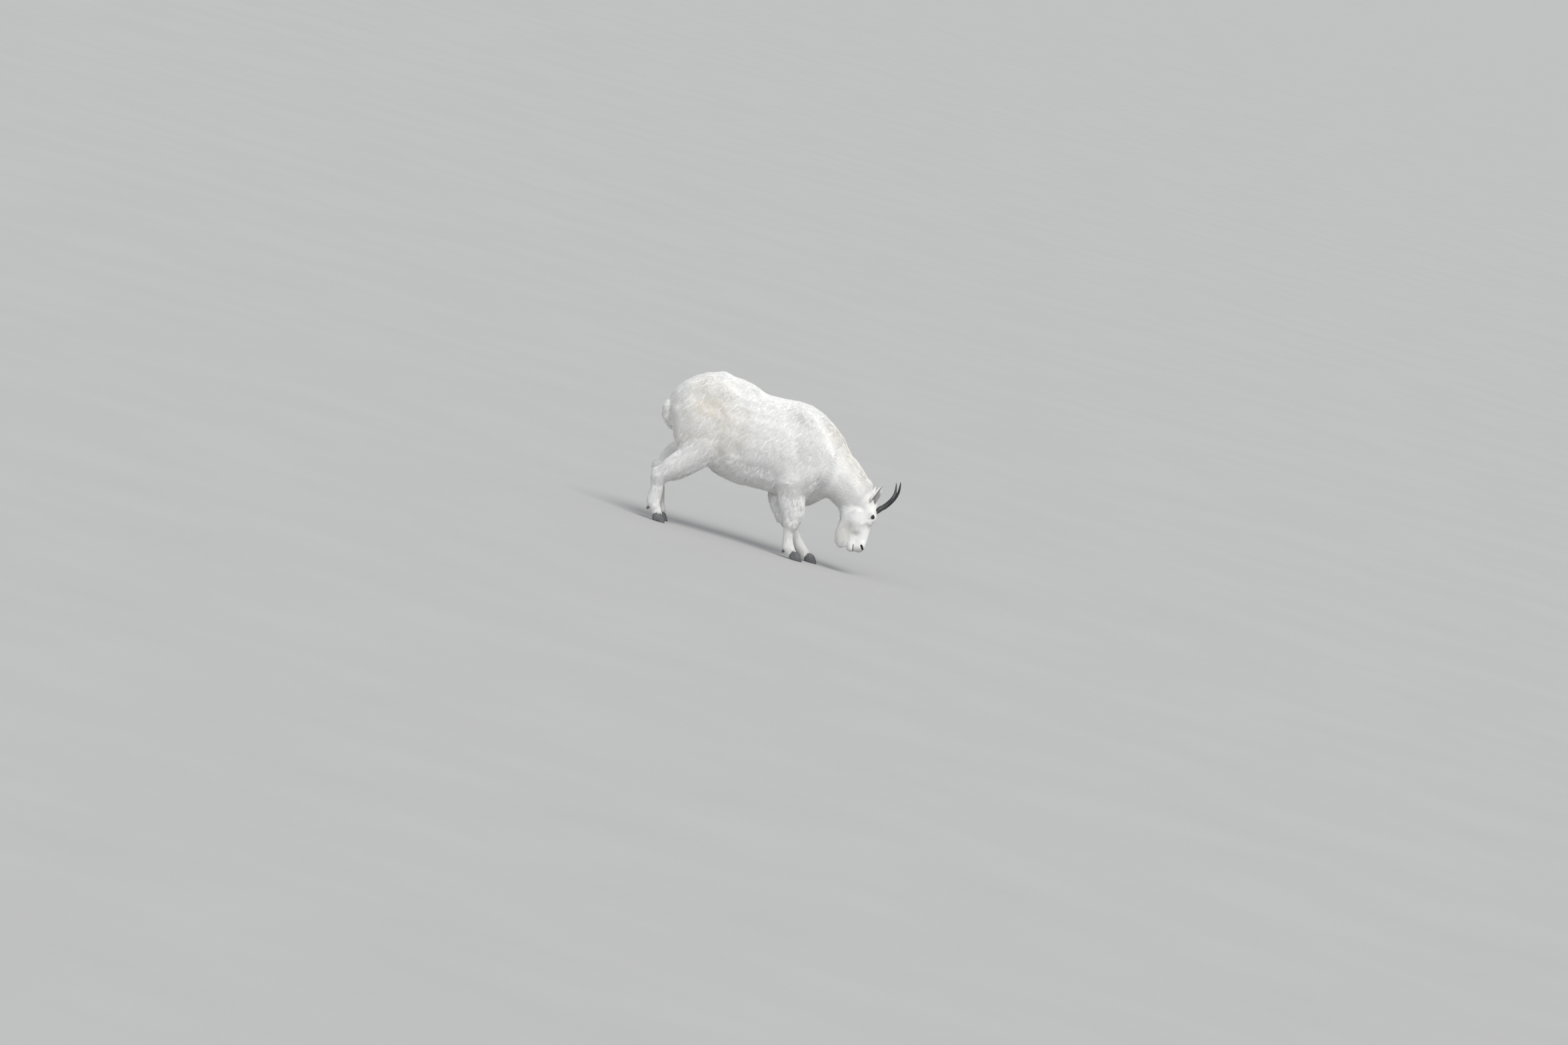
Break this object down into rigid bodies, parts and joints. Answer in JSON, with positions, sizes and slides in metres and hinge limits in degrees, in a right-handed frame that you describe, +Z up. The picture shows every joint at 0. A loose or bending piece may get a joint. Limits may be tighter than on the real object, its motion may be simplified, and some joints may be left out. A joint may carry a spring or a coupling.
{
  "type": "mountain goat",
  "caption": "Life-size mountain goat that stands with its head lowered to graze, with a short white coat, slim curved black horns and cloven hooves.",
  "frame": {"origin": "on the floor, under the middle of the goat's bounding box", "axes": "+X towards the head, +Y to the goat's left, +Z up"},
  "size_m": [1.4756, 0.3278, 0.9514],
  "materials": {
    "coat": "short white hair, warmer on the haunch, neck and cheek",
    "horn": "black horn, smooth towards the tip, ringed at the base",
    "hoof": "dull dark grey horn",
    "eye": "wet and almost black"
  },
  "bodies": {
    "root": {"claw_fore_left_inner": "hoof", "claw_fore_left_outer": "hoof", "claw_fore_right_inner": "hoof", "claw_fore_right_outer": "hoof", "claw_hind_left_inner": "hoof", "claw_hind_left_outer": "hoof", "claw_hind_right_inner": "hoof", "claw_hind_right_outer": "hoof", "dewclaw_fore_left_inner": "hoof", "dewclaw_fore_left_outer": "hoof", "dewclaw_fore_right_inner": "hoof", "dewclaw_fore_right_outer": "hoof", "dewclaw_hind_left_inner": "hoof", "dewclaw_hind_left_outer": "hoof", "dewclaw_hind_right_inner": "hoof", "dewclaw_hind_right_outer": "hoof", "ear_left": "coat", "ear_right": "coat", "eye_left": "eye", "eye_right": "eye", "head": "coat", "horn_left": "horn", "horn_right": "horn", "leg_fore_left": "coat", "leg_fore_right": "coat", "leg_hind_left": "coat", "leg_hind_right": "coat", "neck": "coat", "tail": "coat", "trunk": "coat"}
  },
  "joints": []
}
